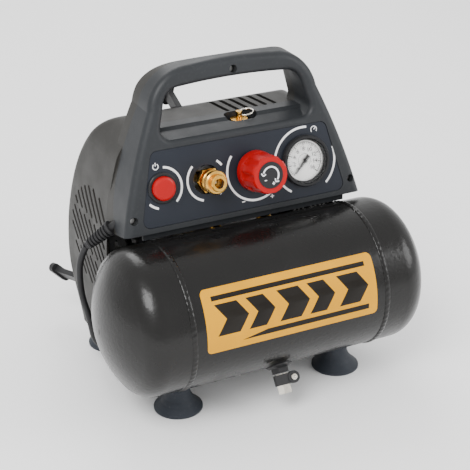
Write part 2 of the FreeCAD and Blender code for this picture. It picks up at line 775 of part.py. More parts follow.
def make_motor():
    save("motor_stator", tube(stator_radius, rotor_radius + 0.4, 52, on_shaft(-59), X_AXIS))
    save("motor_windings",
         tube(41, 29, 12, on_shaft(-71), X_AXIS), tube(41, 29, 10, on_shaft(-7), X_AXIS))
    left = tube(stator_radius, 43, 18, on_shaft(-77), X_AXIS)
    left_wall = tube(stator_radius, 13, 6, on_shaft(-83), X_AXIS)
    save("end_bell_left", join(left, left_wall))
    save("motor_rotor", tube(rotor_radius, shaft_radius, 56, on_shaft(-61), X_AXIS))
    save("motor_shaft", rod(shaft_radius, 122, on_shaft(-103), X_AXIS))
    race = shaft_radius + running_gap
    save("ball_bearings",
         tube(13, race, 6, on_shaft(-83), X_AXIS), tube(13, race, 7, on_shaft(10), X_AXIS))
    hub = tube(11, shaft_radius, 14, on_shaft(-103), X_AXIS)
    web = tube(30, 10, 2, on_shaft(-103), X_AXIS)
    blade = box(-103, -89, motor_y + 9, motor_y + 43, motor_z - 1, motor_z + 1)
    blades = []
    for index in range(9):
        turned_blade = blade.copy()
        turned_blade.rotate(motor_centre, X_AXIS, 40 * index)
        blades.append(turned_blade)
    save("cooling_fan", join(hub, web, *blades))


def make_pump():
    case_left = pump_x - 24
    case_right = pump_x + 20
    wall = tube(stator_radius, 13, 7, on_shaft(case_left), X_AXIS)
    skirt = tube(stator_radius, 43, 17, on_shaft(case_left - 17), X_AXIS)
    seat_z = motor_z + 38
    block = box(case_left, case_right, motor_y - 30, motor_y + 30, motor_z, seat_z)
    barrel = rod(40, case_right - case_left, on_shaft(case_left), X_AXIS)
    case = join(barrel, block)
    case = case.cut(rod(35.5, case_right, on_shaft(case_left + 7), X_AXIS))
    case = case.cut(rod(bore_radius + 2, 40, Vector(pump_x, motor_y, motor_z + 20)))
    case = case.cut(rod(13, 20, on_shaft(case_left - 5), X_AXIS))
    seat = rod(30.3, 60, Vector(pump_x, motor_y, seat_z))
    save("crankcase", join(case, wall, skirt).cut(seat))

    pin_z = motor_z - crank_throw
    disc = rod(17, 8, on_shaft(pump_x - 15), X_AXIS)
    weight = rod(26, 8, on_shaft(pump_x - 15), X_AXIS)
    weight = weight.common(box(0, 60, motor_y - 40, motor_y + 40, motor_z + 3, motor_z + 40))
    pin = rod(4, 15, Vector(pump_x - 9, motor_y, pin_z), X_AXIS)
    save("crank", join(disc, weight, pin).cut(rod(shaft_radius, 8, on_shaft(pump_x - 23), X_AXIS)))

    crown_z = pin_z + 70
    eye = tube(25, 4 + 2 * crank_throw + 0.5, 7, Vector(pump_x - 3, motor_y, pin_z), X_AXIS)
    rod_blade = box(pump_x - 3, pump_x + 4, motor_y - 6, motor_y + 6, pin_z + 23, crown_z - 4)
    crown = rod(bore_radius - running_gap, 8, Vector(pump_x, motor_y, crown_z - 8))
    save("piston_rod", join(eye, rod_blade, crown))

    cylinder_top = seat_z + 42
    barrel = tube(bore_radius + 3, bore_radius, 42, Vector(pump_x, motor_y, seat_z))
    fins = [tube(30, bore_radius + 2, 2.5, Vector(pump_x, motor_y, seat_z + h)) for h in (8, 16, 24, 32)]
    flange = tube(30, bore_radius + 2, 3, Vector(pump_x, motor_y, seat_z))
    save("cylinder", join(barrel, flange, *fins))
    half = 29.0
    plate = box(pump_x - half, pump_x + half, motor_y - half, motor_y + half, cylinder_top, cylinder_top + 3)
    head_bottom = cylinder_top + 3
    head = box(pump_x - half, pump_x + half, motor_y - half, motor_y + half, head_bottom, head_bottom + 8)
    ribs = [box(pump_x - half, pump_x + half, y - 1.5, y + 1.5, head_bottom + 7, head_bottom + 16)
            for y in (motor_y - 20, motor_y - 10, motor_y, motor_y + 10, motor_y + 20)]
    head = join(head, *ribs)
    corners = [(sx * 24, sy * 24) for sx in (-1, 1) for sy in (-1, 1)]
    bolts = []
    for dx, dy in corners:
        seat = Vector(pump_x + dx, motor_y + dy, 0)
        head = head.cut(rod(4.6, 20, seat + Z_AXIS * (head_bottom + 8)))
        hole = rod(2.5, 40, seat + Z_AXIS * cylinder_top)
        head = head.cut(hole)
        plate = plate.cut(hole)
        bolts.append(join(rod(2.5, 11, seat + Z_AXIS * cylinder_top), rod(4.2, 3.5, seat + Z_AXIS * (head_bottom + 8))))
    save("cylinder_head", plate, head)
    save("head_bolts", *bolts)
    filter_start = Vector(pump_x + half, motor_y, head_bottom + 4)
    save("intake_filter", join(rod(4, 4, filter_start, X_AXIS), rod(11, 18, filter_start + X_AXIS * 4, X_AXIS)))
    return head_bottom + 4, half


def swept(points, radius, bends):
    """A round bar along straight runs joined by tangent arcs; prints its bend radii."""
    edges = []
    start = points[0]
    for before, corner, after, bend in zip(points, points[1:], points[2:], bends):
        way_in = (corner - before).normalize()
        way_out = (after - corner).normalize()
        half_turn = way_in.getAngle(way_out) / 2
        setback = bend * math.tan(half_turn)
        arc_start = corner - way_in * setback
        arc_end = corner + way_out * setback
        inwards = (way_out - way_in).normalize()
        centre = corner + inwards * (bend / math.cos(half_turn))
        edges.append(Part.makeLine(start, arc_start))
        edges.append(arc(arc_start, centre - inwards * bend, arc_end))
        start = arc_end
    edges.append(Part.makeLine(start, points[-1]))
    path = Part.Wire(edges)
    section = Part.Wire(Part.makeCircle(radius, points[0], points[1] - points[0]).Edges)
    solid = path.makePipeShell([section], True, False)
    return solid, path


def make_delivery_pipe(head_z, half):
    outwards = Vector(0, 1, 1).normalize()
    nipple = tank_centre + X_AXIS * pump_x + outwards * (tank_radius + 16)
    above = Vector(pump_x, 84, nipple.z + (84 - nipple.y))
    points = [Vector(pump_x, motor_y - half, head_z), Vector(pump_x, 84, head_z), above, nipple]
    pipe, path = swept(points, 4.0, [8.0, 8.0])
    save("delivery_pipe", pipe)


def make_motor_mounts():
    outline = [(108, plate_top_z), (170, plate_top_z), (164, 100), (116, 100)]
    stator = rod(stator_radius, 200, on_shaft(-120), X_AXIS)
    legs = [prism_x(outline, x, x + 8).cut(stator) for x in (-54, -22)]
    save("motor_mounts", *legs)


def make_capacitor():
    can = rod(15, 58, Vector(-70, 108, 198), X_AXIS)
    saddle = box(-48, -32, 98, 120, 160, 186).cut(rod(stator_radius, 200, on_shaft(-120), X_AXIS))
    save("capacitor", join(can, saddle))


# ---------------------------------------------------------------- drain cock
drain_down = Vector(0, -math.sin(math.radians(drain_tilt)), -math.cos(math.radians(drain_tilt)))
drain_front = Vector(0, -math.cos(math.radians(drain_tilt)), math.sin(math.radians(drain_tilt)))
drain_root = tank_centre + drain_down * tank_radius
lever_pivot_x = 8.0
lever_pivot_along = 15.5


def on_drain(shape):
    """Place a shape drawn with Z down the drain and Y to the front onto the tank."""
    placed = shape.copy()
    placed.Placement = FreeCAD.Placement(drain_root, FreeCAD.Rotation(X_AXIS, drain_front, drain_down, "ZXY"))
    return placed


def make_drain():
    barrel = rod(tank_radius, 60, tank_centre - X_AXIS * 30, X_AXIS)
    weld = turned([(0, -3), (14, -3), (14, 0.5), (11, 3.0), (0, 3.0)])
    boss = join(weld, hexagon(16.5, 5.6, Vector(0, 0, 3.0))).cut(rod(3.0, 30, Vector(0, 0, -5)))
    save("drain_boss", on_drain(boss).cut(barrel))
    stem_radius = 2.5
    body = join(
        rod(7.0, 11, Vector(0, 0, 9.5)),
        box(0, 12.5, -6, 7.0, 10.5, 20.5),
        hexagon(13.5, 9.5, Vector(0, 0, 20.5)),
    )
    pivot_hole = rod(stem_radius + running_gap, 9, Vector(lever_pivot_x, -1, lever_pivot_along), Y_AXIS)
    body = body.cut(rod(3.0, 11, Vector(0, 0, 20.5))).cut(pivot_hole)
    save("drain_body", on_drain(body))
    hub = rod(6.4, 5, Vector(lever_pivot_x, 7.5, lever_pivot_along), Y_AXIS)
    arm = box(-13, lever_pivot_x, 7.5, 11.5, lever_pivot_along - 5.5, lever_pivot_along + 5.5)
    stem = rod(stem_radius, 8, Vector(lever_pivot_x, -0.5, lever_pivot_along), Y_AXIS)
    save("drain_lever", on_drain(join(hub, arm, stem)))


# ---------------------------------------------------------------- cord and plug
exit_point = Vector(-137, 66, 187.5)
exit_way = Vector(-18, 12, -18).normalize()
relief_length = 34.0
coil_centre = Vector(45, 285, 0)
coil_inner = 28.5
coil_outer = 50.6
coil_height = 14.4
cord_route = [
    (-158.8, 80.5, 165.7), (-164.5, 86.5, 150.0), (-165.0, 90.0, 126.0), (-161.5, 95.0, 100.0),
    (-153.5, 102.0, 74.0), (-148.5, 107.5, 54.0), (-145.0, 111.8, 38.0), (-137.5, 116.5, 24.5),
    (-126.2, 119.5, 13.3), (-112.0, 121.0, 6.8), (-95.8, 121.0, 4.1), (-77.0, 120.0, 3.6),
    (-57.0, 122.0, 3.6), (-38.0, 132.0, 3.6), (-22.0, 149.0, 3.6), (-12.0, 174.0, 3.6),
    (-6.5, 205.0, 3.6), (-4.0, 238.0, 3.6), (-2.6, 268.0, 3.6), (-2.0, 285.0, 3.6),
]
tail_route = [
    (92.0, 285.0, 10.8), (93.0, 270.0, 10.9), (96.0, 256.0, 12.5), (102.0, 243.0, 16.0), (111.0, 233.0, 18.5),
]
plug_way = Vector(1, -1, 0).normalize()
plug_side = Vector(1, 1, 0).normalize()
plug_length = 38.0
pin_length = 19.0
pin_offset = 9.5


def cord_exit_hole():
    """Where the cord's strain relief passes through the rim's lower corner."""
    return rod(4.6, 30, exit_point - exit_way * 20, exit_way)


def cord_tube(route):
    points = [Vector(*p) for p in route]
    bends = []
    for before, corner, after in zip(points, points[1:], points[2:]):
        shorter = min((corner - before).Length, (after - corner).Length)
        half_turn = (corner - before).getAngle(after - corner) / 2
        bends.append(0.45 * shorter / math.tan(half_turn))
    solid, path = swept(points, cord_radius, bends)
    ideal = math.pi * cord_radius ** 2 * path.Length
    print("cord radii", [round(b) for b in bends])
    print("cord length", round(path.Length), "volume ratio", round(solid.Volume / ideal, 4))
    return solid


def make_cord():
    root = exit_point - exit_way * 4
    tip = relief_length + 3.4
    cone = [(0, -8), (4.5, -8), (4.5, 3.0), (7.5, 3.0), (7.5, 6.0), (6.0, 7.5), (4.6, tip), (0, tip)]
    relief = turned(cone, root, exit_way)
    save("strain_relief", relief)
    save("power_cord", cord_tube(cord_route))
    save("cord_tail", cord_tube(tail_route))
    ring = [
        (coil_inner, 0.1), (coil_outer, 0.1), (coil_outer, 12), (48.5, coil_height),
        (30.6, coil_height), (coil_inner, 12),
    ]
    save("cord_coil", turned(ring, coil_centre))
    band = box(-2.5, 2.5, coil_inner - 1.2, coil_outer + 1.2, 0, coil_height + 1.2)
    band = band.cut(box(-3, 3, coil_inner, coil_outer, -1, coil_height))
    band.rotate(Vector(0, 0, 0), Z_AXIS, -45)
    band.translate(coil_centre)
    save("coil_tie", band)
    plug_start = Vector(*tail_route[-1])
    body = [(0, 0), (5.5, 0), (6.5, 14), (11, 20), (18.2, 24), (18.2, plug_length), (0, plug_length)]
    save("plug_body", turned(body, plug_start, plug_way))
    face = plug_start + plug_way * plug_length
    pins = [rod(2.4, pin_length, face + plug_side * side, plug_way) for side in (-pin_offset, pin_offset)]
    save("plug_pins", *pins)


def main():
    os.makedirs("parts", exist_ok=True)
    make_tank()
    make_label()
    make_base()
    make_feet()
    make_shells()
    make_panel()
    make_screws()
    make_hooks()
    make_button()
    make_coupler()
    make_regulator()
    make_gauge()
    make_manifold()
    make_safety_valve()
    make_motor()
    head_z, half = make_pump()
    make_delivery_pipe(head_z, half)
    make_motor_mounts()
    make_capacitor()
    make_drain()
    make_cord()


if __name__ == "__main__":
    main()
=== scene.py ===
# %% [markdown]
# # A portable air compressor
# The machine is a black steel tank lying on rubber feet, with a plastic
# housing behind and above it that holds the motor, the pump and the controls.
# The solid parts come ready made from the CAD model, each with its place in
# its mesh. This lesson gives every one of them a finish, and adds the pieces
# that are easier to shape here: the lead, the printed marks, the weld beads.

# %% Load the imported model
import math

import bmesh
import bpy
from mathutils import Matrix, Vector


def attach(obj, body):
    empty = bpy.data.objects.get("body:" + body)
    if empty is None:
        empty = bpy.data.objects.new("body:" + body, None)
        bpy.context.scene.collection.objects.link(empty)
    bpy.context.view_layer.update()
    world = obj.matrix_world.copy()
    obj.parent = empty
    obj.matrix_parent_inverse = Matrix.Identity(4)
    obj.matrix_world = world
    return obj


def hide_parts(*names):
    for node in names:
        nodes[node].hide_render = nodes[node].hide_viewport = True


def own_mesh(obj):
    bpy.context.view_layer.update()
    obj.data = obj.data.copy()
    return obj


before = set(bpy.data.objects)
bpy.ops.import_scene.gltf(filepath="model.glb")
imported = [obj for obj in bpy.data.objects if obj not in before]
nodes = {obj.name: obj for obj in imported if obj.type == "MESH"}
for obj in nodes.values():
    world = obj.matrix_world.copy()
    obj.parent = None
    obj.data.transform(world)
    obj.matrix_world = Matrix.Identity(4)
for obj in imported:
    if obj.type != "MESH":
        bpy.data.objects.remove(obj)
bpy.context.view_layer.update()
MM = 0.001
TANK_Y = -0.08482
TANK_AXIS_Z = 111.4
TANK_RADIUS = 77.0

# %% [markdown]
# ## The camera
# A long lens from the front left and above flattens the perspective, as in a
# catalogue picture. The camera is aimed with a track quaternion, which turns
# its own -Z axis towards the middle of the machine and keeps its top up.

# %% Place the camera
camera_data = bpy.data.cameras.new("camera")
camera_data.lens = 100
camera_data.sensor_width = 36
camera = bpy.data.objects.new("camera", camera_data)
bpy.context.scene.collection.objects.link(camera)
camera.location = (-0.5576, -1.14902, 0.7557)
aim = Vector((-0.0285, TANK_Y, 0.1849)) - camera.location
camera.rotation_euler = aim.to_track_quat("-Z", "Y").to_euler()
bpy.context.scene.camera = camera
print("camera is", round(aim.length, 3), "m from the middle")

# %% [markdown]
# ## Small helpers
# Every new piece is a mesh shaped with bmesh operators, and its object stays
# at the origin, so one helper turns a bmesh into a finished piece: it names
# the body that carries the piece, the CAD node it stands for, and its finish.
# Another adds one small bmesh to a bigger one, for pieces of many parts.

# %% Helpers that place a point, finish a piece and join two shapes
def tank_point(point):
    """A point in millimetres, measured from the tank's axis, in metres."""
    x, y, z = point
    return Vector((x * MM, y * MM + TANK_Y, z * MM))


def piece(name, bm, material, body="chassis", stands_for=(), smooth=35):
    bmesh.ops.remove_doubles(bm, verts=bm.verts, dist=1e-6)
    mesh = bpy.data.meshes.new(name)
    bm.to_mesh(mesh)
    bm.free()
    obj = bpy.data.objects.new(name, mesh)
    bpy.context.scene.collection.objects.link(obj)
    mesh.materials.append(material)
    mesh.shade_smooth()
    mesh.set_sharp_from_angle(angle=math.radians(smooth))
    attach(obj, body)
    if stands_for:
        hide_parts(*stands_for)
    print(name, len(mesh.polygons), "faces")
    return obj


def join_into(target, bm, place):
    """Adds a small bmesh to a bigger one, moved to its place."""
    bmesh.ops.transform(bm, matrix=place, verts=bm.verts)
    bmesh.ops.recalc_face_normals(bm, faces=bm.faces)
    holder = bpy.data.meshes.new("part")
    bm.to_mesh(holder)
    bm.free()
    target.from_mesh(holder)
    bpy.data.meshes.remove(holder)


print("the tank's axis is at", tank_point((0, 0, TANK_AXIS_Z)))

# %% [markdown]
# Round things are turned on a lathe: a profile of radius and height is spun
# about an axis. The spin leaves its seam open, so `use_merge` closes it.

# %% A lathe, and a frame along any axis
def frame_along(origin, axis, up=(0, 0, 1)):
    """A matrix whose Z runs along the axis from the origin, with Y near `up`."""
    z = Vector(axis).normalized()
    x = Vector(up).cross(z).normalized()
    y = z.cross(x)
    turn = Matrix((x, y, z)).transposed().to_4x4()
    return Matrix.Translation(Vector(origin)) @ turn


def lathe(profile, place, steps=64):
    """Spins a profile of (radius, height) in millimetres about its place's Z axis."""
    bm = bmesh.new()
    verts = [bm.verts.new((r * MM, 0, h * MM)) for r, h in profile]
    edges = [bm.edges.new(pair) for pair in zip(verts, verts[1:])]
    bmesh.ops.spin(bm, geom=verts + edges, cent=(0, 0, 0), axis=(0, 0, 1),
                   angle=math.tau, steps=steps, use_merge=True)
    bmesh.ops.remove_doubles(bm, verts=bm.verts, dist=1e-6)
    bmesh.ops.recalc_face_normals(bm, faces=bm.faces)
    bmesh.ops.transform(bm, matrix=place, verts=bm.verts)
    return bm


# %% [markdown]
# ## Finishes
# A finish is a Principled shader with a little of everything that tells the
# eye what it is looking at: a slow change of tone, a fine grain in the
# normals, and a roughness that is never quite even. The helpers below add
# those nodes, and each finish is then a few lines.

# %% Node helpers
def new_finish(name, metallic=0.0, **sockets):
    material = bpy.data.materials.new(name)
    material.use_nodes = True
    tree = material.node_tree
    shader = tree.nodes["Principled BSDF"]
    shader.inputs["Metallic"].default_value = metallic
    for socket, value in sockets.items():
        shader.inputs[socket.replace("_", " ")].default_value = value
    coords = tree.nodes.new("ShaderNodeTexCoord")
    return material, tree, shader, coords.outputs["Object"]


def noise(tree, where, scale, detail=3.0, rough=0.5):
    node = tree.nodes.new("ShaderNodeTexNoise")
    node.inputs["Scale"].default_value = scale
    node.inputs["Detail"].default_value = detail
    node.inputs["Roughness"].default_value = rough
    tree.links.new(where, node.inputs["Vector"])
    return node.outputs["Fac"]


def spread(tree, value, low, high, start=0.3, stop=0.7):
    node = tree.nodes.new("ShaderNodeMapRange")
    for socket, number in zip(("From Min", "From Max", "To Min", "To Max"), (start, stop, low, high)):
        node.inputs[socket].default_value = number
    tree.links.new(value, node.inputs["Value"])
    return node.outputs["Result"]


def uneven(tree, shader, here, scale, low, high):
    """A roughness that wanders between two values over the surface."""
    tree.links.new(spread(tree, noise(tree, here, scale), low, high), shader.inputs["Roughness"])


def tones(tree, value, dark, light, start=0.3, stop=0.7):
    node = tree.nodes.new("ShaderNodeValToRGB")
    node.color_ramp.elements[0].position = start
    node.color_ramp.elements[1].position = stop
    node.color_ramp.elements[0].color = (*dark, 1)
    node.color_ramp.elements[1].color = (*light, 1)
    tree.links.new(value, node.inputs["Fac"])
    return node.outputs["Color"]


def bump(tree, height, distance, strength=1.0, under=None):
    node = tree.nodes.new("ShaderNodeBump")
    node.inputs["Distance"].default_value = distance
    node.inputs["Strength"].default_value = strength
    tree.links.new(height, node.inputs["Height"])
    if under is not None:
        tree.links.new(under, node.inputs["Normal"])
    return node.outputs["Normal"]


def soft_edges(tree, radius):
    node = tree.nodes.new("ShaderNodeBevel")
    node.samples = 4
    node.inputs["Radius"].default_value = radius
    return node.outputs["Normal"]


# %% [markdown]
# Moulded plastic takes its grain from the spark-eroded mould: a field of tiny
# pits, a third of a millimetre across, that scatter the highlights. Glossier
# plastics have hardly any. One recipe covers the lot.

# %% Plastics and rubbers
def moulded(name, dark, light, rough, grain=1500.0, depth=0.00006, edge=0.0006, coat=0.0, dust=0.0):
    material, tree, shader, here = new_finish(name, Coat_Weight=coat, Specular_IOR_Level=0.22)
    tone = tones(tree, noise(tree, here, 14.0, 4.0), dark, light)
    pits = noise(tree, here, grain, 2.0, 0.6)
    if dust:
        speck = tree.nodes.new("ShaderNodeMix")
        speck.data_type = "RGBA"
        speck.inputs["B"].default_value = (0.35, 0.34, 0.32, 1)
        flecks = spread(tree, noise(tree, here, 260.0, 5.0, 0.7), 0.0, dust, 0.55, 0.8)
        tree.links.new(flecks, speck.inputs["Factor"])
        tree.links.new(tone, speck.inputs["A"])
        tone = speck.outputs["Result"]
    tree.links.new(tone, shader.inputs["Base Color"])
    uneven(tree, shader, here, 40.0, rough - 0.06, rough + 0.06)
    under = soft_edges(tree, edge) if edge else None
    tree.links.new(bump(tree, pits, depth, 0.7, under), shader.inputs["Normal"])
    return material


shell_grey = moulded("shell_grey", (0.016, 0.0175, 0.0195), (0.021, 0.023, 0.0255), 0.44, dust=0.04)
shroud_grey = moulded("shroud_grey", (0.021, 0.0200, 0.0180), (0.027, 0.0262, 0.0240), 0.48, dust=0.04)
panel_grey = moulded("panel_grey", (0.011, 0.013, 0.019), (0.014, 0.017, 0.024), 0.38,
                     2200.0, 0.00003, 0.0004)
hook_black = moulded("hook_black", (0.018, 0.018, 0.019), (0.026, 0.026, 0.027), 0.45, edge=0.0010)
trim_black = moulded("trim_black", (0.012, 0.012, 0.013), (0.018, 0.018, 0.019), 0.32, 2600.0, 0.00002)
foot_rubber = moulded("foot_rubber", (0.022, 0.026, 0.034), (0.032, 0.037, 0.046), 0.58,
                      900.0, 0.00005, dust=0.08)
lead_rubber = moulded("lead_rubber", (0.014, 0.014, 0.015), (0.022, 0.022, 0.023), 0.46,
                      1800.0, 0.00003, edge=0.0)
signal_red = moulded("signal_red", (0.30, 0.0003, 0.0012), (0.36, 0.0004, 0.0016), 0.36,
                     1800.0, 0.00002, 0.0008, coat=0.08)
fan_black = moulded("fan_black", (0.02, 0.02, 0.02), (0.03, 0.03, 0.03), 0.5)
can_white = moulded("can_white", (0.55, 0.54, 0.50), (0.66, 0.65, 0.61), 0.4)
print("plastics and rubbers made")

# %% [markdown]
# Metals differ in how they were worked. Turned brass and nickel carry fine
# rings, castings a coarse skin, and stove paint the slow dimples that
# painters call orange peel.

# %% Metals and paints
def metal(name, dark, light, rough, grain=700.0, depth=0.00003, edge=0.0004, **sockets):
    material, tree, shader, here = new_finish(name, 1.0, **sockets)
    tree.links.new(tones(tree, noise(tree, here, 60.0, 4.0), dark, light), shader.inputs["Base Color"])
    uneven(tree, shader, here, 110.0, rough - 0.07, rough + 0.08)
    tree.links.new(bump(tree, noise(tree, here, grain, 3.0), depth, 0.6, soft_edges(tree, edge)),
                   shader.inputs["Normal"])
    return material


brass = metal("brass", (0.72, 0.38, 0.06), (0.82, 0.48, 0.11), 0.22)
nickel = metal("nickel", (0.62, 0.58, 0.50), (0.75, 0.72, 0.66), 0.20)
zinc = metal("zinc", (0.50, 0.50, 0.49), (0.64, 0.64, 0.63), 0.30)
lamination = metal("lamination", (0.22, 0.21, 0.20), (0.34, 0.33, 0.32), 0.45, 1400.0, 0.00008)
copper = metal("copper", (0.60, 0.24, 0.12), (0.74, 0.34, 0.18), 0.32, 900.0, 0.00010)
cast_aluminium = metal("cast_aluminium", (0.46, 0.46, 0.47), (0.60, 0.60, 0.61), 0.48, 420.0, 0.00012)


def stove_paint(name, dark, light, rough, peel, distance, coat):
    material, tree, shader, here = new_finish(name, Coat_Weight=coat, Coat_Roughness=0.18,
                                              Specular_IOR_Level=0.2)
    tree.links.new(tones(tree, noise(tree, here, 9.0, 3.0), dark, light), shader.inputs["Base Color"])
    uneven(tree, shader, here, 30.0, rough - 0.05, rough + 0.05)
    skin = bump(tree, noise(tree, here, peel, 2.0, 0.4), distance, 0.8)
    tree.links.new(skin, shader.inputs["Normal"])
    tree.links.new(skin, shader.inputs["Coat Normal"])
    return material


tank_black = stove_paint("tank_black", (0.0035, 0.0033, 0.0030), (0.006, 0.0056, 0.0052), 0.28,
                         260.0, 0.00022, 0.22)
frame_black = stove_paint("frame_black", (0.012, 0.012, 0.013), (0.018, 0.018, 0.019), 0.42,
                          300.0, 0.00020, 0.2)
print("metals and paints made")

# %% [markdown]
# The label is printed foil, and the gauge's face is white card behind a clear
# cover. A cover that only bends light would leave the card dark, because light
# that is bent rarely finds a lamp. So the cover has a low alpha, which lets most
# of the light straight through and keeps the shine.

# %% Foil, card and clear plastic
def plain(name, dark, light, rough, coat=0.0):
    material, tree, shader, here = new_finish(name, Coat_Weight=coat, Coat_Roughness=0.1,
                                              Specular_IOR_Level=0.15)
    tree.links.new(tones(tree, noise(tree, here, 35.0, 3.0), dark, light), shader.inputs["Base Color"])
    uneven(tree, shader, here, 60.0, rough - 0.05, rough + 0.05)
    tree.links.new(bump(tree, noise(tree, here, 240.0), 0.00004, 0.5), shader.inputs["Normal"])
    return material


label_amber = plain("label_amber", (0.58, 0.265, 0.0001), (0.64, 0.295, 0.0002), 0.42, 0.04)
label_ink = plain("label_ink", (0.006, 0.0045, 0.003), (0.009, 0.007, 0.005), 0.40, 0.06)
print_white = plain("print_white", (0.72, 0.72, 0.72), (0.80, 0.80, 0.80), 0.5)
print_black = plain("print_black", (0.012, 0.012, 0.012), (0.020, 0.020, 0.020), 0.5)
dial_card = plain("dial_card", (0.92, 0.92, 0.90), (0.96, 0.96, 0.94), 0.55)
clear, clear_tree, clear_shader, clear_here = new_finish(
    "clear_lens", Transmission_Weight=1.0, IOR=1.46, Alpha=0.22)
uneven(clear_tree, clear_shader, clear_here, 30.0, 0.01, 0.05)
print("foil, card and lens made")

# %% [markdown]
# ## Finishes on the CAD pieces
# The CAD pieces keep their shape and swap their plain grey for a finish. The
# dictionary reads like a parts list: the finish, then the pieces that wear it.

# %% Give every CAD piece its finish
wearers = {
    shell_grey: ["front_shell"],
    shroud_grey: ["rear_shell"],
    panel_grey: ["control_panel"],
    hook_black: ["cord_hooks", "drain_lever"],
    trim_black: ["button_bezel", "knob_cap", "gauge_case", "pressure_switch", "intake_filter",
                 "coil_tie"],
    foot_rubber: ["rubber_feet"],
    lead_rubber: ["strain_relief", "power_cord", "cord_tail", "cord_coil", "plug_body"],
    signal_red: ["start_button", "regulator_knob"],
    fan_black: ["cooling_fan"],
    can_white: ["capacitor"],
    brass: ["coupler_body", "coupler_sleeve", "regulator_stem", "tank_fittings",
            "safety_valve_body", "safety_valve_stem"],
    nickel: ["pull_ring", "drain_body", "plug_pins"],
    zinc: ["foot_studs", "shell_screws", "safety_valve_spring", "motor_shaft", "ball_bearings",
           "head_bolts"],
    lamination: ["motor_stator", "motor_rotor", "crank"],
    copper: ["motor_windings", "delivery_pipe"],
    cast_aluminium: ["regulator_body", "manifold", "end_bell_left", "crankcase", "piston_rod",
                     "cylinder", "cylinder_head"],
    tank_black: ["tank_barrel", "tank_end_left", "tank_end_right", "tank_weld_beads"],
    frame_black: ["base_plate", "tank_brackets", "motor_mounts", "drain_boss"],
    label_amber: ["tank_label"],
    print_black: ["gauge_needle"],
    dial_card: ["gauge_dial"],
    clear: ["gauge_lens"],
}
dressed = set()
for finish, names in wearers.items():
    for name in names:
        slots = nodes[name].data.materials
        slots.clear()
        slots.append(finish)
        dressed.add(name)
print("dressed", len(dressed), "of", len(nodes), "missing", sorted(set(nodes) - dressed))

# %% [markdown]
# ## The mains lead
# A lead is one flexible length, so it is one curve with a round section. It
# leaves the housing's lower left corner, drops to the floor, runs under the
# machine, and its spare length is wound into a neat flat coil behind it. The
# coil is two layers: a spiral inwards on the floor, a short climb, and a
# spiral outwards on top, a cord's width apart.

# %% Points of the lead
LEAD_RADIUS = 0.0035
drop = [
    (-158.8, 80.5, 165.7), (-164.5, 86.5, 150.0), (-165.0, 90.0, 126.0), (-161.5, 95.0, 100.0),
    (-153.5, 102.0, 74.0), (-148.5, 107.5, 54.0), (-145.0, 111.8, 38.0), (-137.5, 116.5, 24.5),
    (-126.2, 119.5, 13.3), (-112.0, 121.0, 6.8), (-95.8, 121.0, 4.1), (-77.0, 120.0, 3.6),
    (-57.0, 122.0, 3.6), (-38.0, 132.0, 3.6), (-22.0, 149.0, 3.6), (-12.0, 174.0, 3.6),
    (-6.5, 205.0, 3.6), (-4.0, 238.0, 3.6), (-2.6, 268.0, 3.6),
]
tail = [(93.0, 270.0, 10.8), (96.0, 256.0, 12.5), (102.0, 243.0, 16.0), (111.0, 233.0, 18.5)]
coil_middle = (45.0, 285.0)
coil_turns = 4.5
points_per_turn = 16
cord_pitch = 7.15
low_turns = 2.1
climb_turns = 0.3
outer_radius = 47.0
inner_radius = outer_radius - cord_pitch * low_turns
low_z, high_z = 3.6, 10.8
coil = []
for step in range(int(coil_turns * points_per_turn) + 1):
    turn = step / points_per_turn
    if turn <= low_turns:
        radius, height = outer_radius - cord_pitch * turn, low_z
    elif turn <= low_turns + climb_turns:
        radius = inner_radius
        height = low_z + (high_z - low_z) * (turn - low_turns) / climb_turns
    else:
        radius, height = inner_radius + cord_pitch * (turn - low_turns - climb_turns), high_z
    angle = math.pi - turn * math.tau
    across, along = radius * math.cos(angle), radius * math.sin(angle)
    coil.append((coil_middle[0] + across, coil_middle[1] + along, height))
route = [tank_point(p) for p in drop + coil + tail]
print(len(route), "points on the lead")

# %% [markdown]
# The lead could be a swept mesh, but then every bend would show its facets. A
# NURBS curve with a round bevel stays smooth through the same few points. Its
# order is set after its points are added, because a curve without points falls
# back to straight runs.

# %% The lead as one smooth curve
lead_curve = bpy.data.curves.new("lead", "CURVE")
lead_curve.dimensions = "3D"
lead_curve.bevel_depth = LEAD_RADIUS
lead_curve.bevel_resolution = 6
lead_curve.resolution_u = 8
spline = lead_curve.splines.new("NURBS")
spline.points.add(len(route) - 1)
for point, place in zip(spline.points, route):
    point.co = (*place, 1)
spline.order_u = 3
spline.use_endpoint_u = True
lead = bpy.data.objects.new("lead", lead_curve)
bpy.context.scene.collection.objects.link(lead)
lead_curve.materials.append(lead_rubber)
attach(lead, "chassis")
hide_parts("power_cord", "cord_coil", "cord_tail")

# %% [markdown]
# Where the lead leaves the housing, a ribbed rubber sleeve keeps it from
# kinking. Separate rings on a cone would also look right, but they would leave
# open edges inside. So its profile is one line with a row of ribs that get
# smaller towards the tip, and the lathe turns it in one go.

